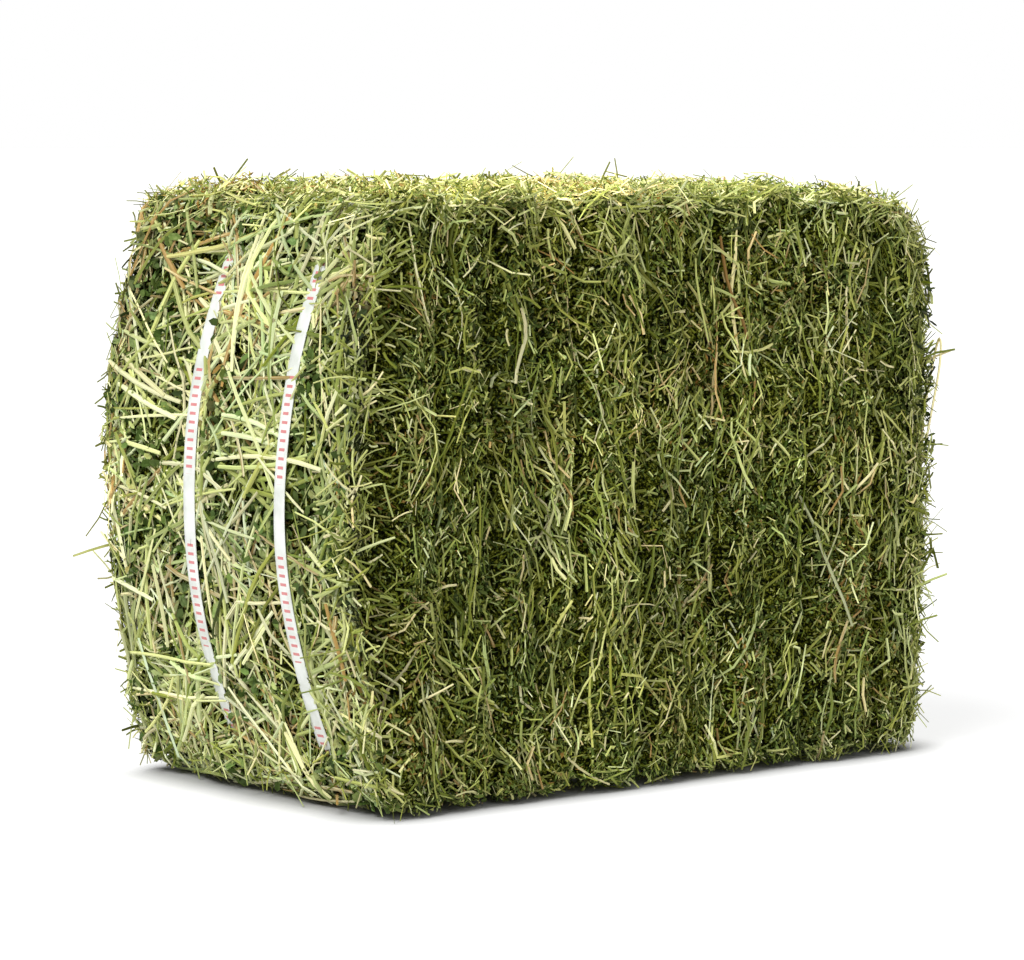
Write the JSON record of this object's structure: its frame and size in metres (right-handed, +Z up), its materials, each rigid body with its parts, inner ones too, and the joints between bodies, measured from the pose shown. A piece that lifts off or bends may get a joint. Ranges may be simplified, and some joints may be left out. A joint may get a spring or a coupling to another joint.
{
  "type": "small square hay bale",
  "caption": "Pressed block of chopped green hay in flakes, bound lengthwise by flat white plastic straps; stacks and rests on its narrow side.",
  "frame": {"origin": "on the floor under the middle of the bale's box", "axes": "+X along the length, across the flakes, towards the thick end flakes; +Y across the width; +Z up"},
  "size_m": [0.5706, 0.302, 0.43],
  "materials": {
    "hay": "matte dried stems and leaf",
    "strap": "white embossed polypropylene with plain red bars"
  },
  "bodies": {
    "root": {"flake_01": "hay", "flake_02": "hay", "flake_03": "hay", "flake_04": "hay", "flake_05": "hay", "flake_06": "hay", "flake_07": "hay", "flake_08": "hay", "flake_09": "hay", "flake_10": "hay", "flake_11": "hay", "flake_12": "hay", "strap_1": "strap", "strap_2": "strap"}
  },
  "joints": []
}
